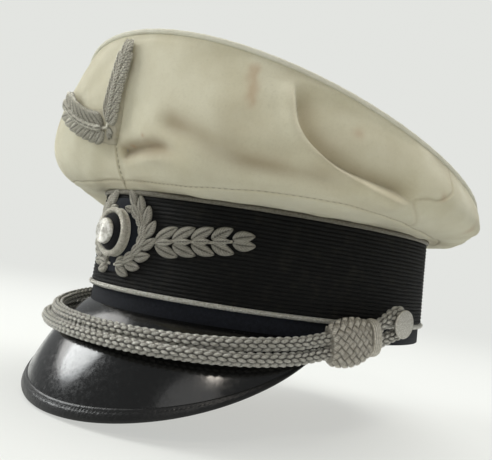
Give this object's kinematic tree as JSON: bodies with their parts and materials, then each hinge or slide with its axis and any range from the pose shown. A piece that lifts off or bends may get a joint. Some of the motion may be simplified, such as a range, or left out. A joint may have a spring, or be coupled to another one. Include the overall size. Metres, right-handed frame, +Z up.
{
  "type": "peaked cap",
  "caption": "Officer's peaked cap: lift-off white cover on a spring hoop, ribbed black band, lacquered visor, silver chin cords with slides, leafy badges.",
  "frame": {"origin": "centre of the head opening, in the plane of the cap's lower edge", "axes": "+Z up through the crown, -Y towards the visor and badges, +X to the wearer's left"},
  "size_m": [0.247, 0.2477, 0.1849],
  "materials": {
    "white_cotton": "white ribbed cotton, slightly aged",
    "white_lining": "white cotton tape",
    "navy_wool": "dark blue wool cloth",
    "black_mohair": "black horizontally ribbed mohair braid",
    "silver_piping": "twisted silver thread piping",
    "silver_cord": "plaited silver thread cord",
    "silver_bullion": "silver bullion wire embroidery",
    "badge_cloth": "pale wool badge cloth",
    "badge_cloth_dark": "dark blue badge cloth",
    "black_felt": "black felt",
    "silver_metal": "matt pebbled silver",
    "brass_plate": "plain stamped brass",
    "spring_steel": "plain spring steel",
    "black_lacquer": "glossy black lacquer on vulcanised fibre",
    "visor_underside": "dark embossed cloth-leather",
    "tan_leather": "smooth tan leather",
    "lining_silk": "gold-tan artificial silk",
    "clear_sheet": "clear yellowed sheet",
    "buckram": "stiffened buckram",
    "wadding": "cotton wadding",
    "black_tape": "black cotton tape"
  },
  "bodies": {
    "cap": {"base_strip": "navy_wool", "band_stiffener": "buckram", "mohair_band": "black_mohair", "band_base_piping": "silver_piping", "band_top_piping": "silver_piping", "sweatband": "tan_leather", "sweatband_tape": "black_tape", "sweatband_bow": "tan_leather", "crown_lining": "lining_silk", "sweat_shield": "clear_sheet", "visor": "black_lacquer", "visor_lining": "visor_underside", "visor_rim": "black_lacquer", "band_badge_backing": "badge_cloth_dark", "badge_wreath": "silver_bullion", "badge_sprig_left": "silver_bullion", "badge_sprig_right": "silver_bullion", "cockade_disc": "black_felt", "cockade_ring": "silver_bullion", "cockade_boss": "silver_bullion", "button_washer_left": "brass_plate", "button_washer_right": "brass_plate"},
    "crown_cover": {"crown_top": "white_cotton", "crown_panel_front_left": "white_cotton", "crown_panel_front_right": "white_cotton", "crown_panel_back_left": "white_cotton", "crown_panel_back_right": "white_cotton", "crown_rim_piping": "white_cotton", "crown_hem": "white_lining", "crown_wire": "spring_steel", "wire_ferrule": "brass_plate", "front_stay": "spring_steel", "front_pad": "wadding", "crown_badge_backing": "badge_cloth", "crown_badge_spray": "silver_bullion"},
    "chin_cord": {"chin_cord_upper": "silver_cord", "chin_cord_lower": "silver_cord"},
    "slide_left": {"slide_knot_left": "silver_cord", "slide_collar_left": "silver_cord"},
    "slide_right": {"slide_knot_right": "silver_cord", "slide_collar_right": "silver_cord"},
    "side_button_left": {"button_left": "silver_metal"},
    "side_button_right": {"button_right": "silver_metal"}
  },
  "joints": [
    {"name": "crown_cover_lift", "type": "slide", "parent": "cap", "child": "crown_cover", "axis": [0, 0, 1], "range_m": [0, 0.08]},
    {"name": "chin_cord_swing", "type": "hinge", "parent": "cap", "child": "chin_cord", "pos_m": [0, 0.004, 0.0122], "axis": [-1, 0, 0], "range_deg": [0, 16]},
    {"name": "slide_left_travel", "type": "slide", "parent": "chin_cord", "child": "slide_left", "axis": [-0.1238, -0.973, -0.1946], "range_m": [0, 0.009]},
    {"name": "slide_right_travel", "type": "slide", "parent": "chin_cord", "child": "slide_right", "axis": [0.1238, -0.973, -0.1946], "range_m": [0, 0.009]},
    {"name": "button_left_turn", "type": "hinge", "parent": "cap", "child": "side_button_left", "pos_m": [0.093, 0.004, 0.0122], "axis": [1, 0, 0], "continuous": true},
    {"name": "button_right_turn", "type": "hinge", "parent": "cap", "child": "side_button_right", "pos_m": [-0.093, 0.004, 0.0122], "axis": [-1, 0, 0], "continuous": true}
  ]
}
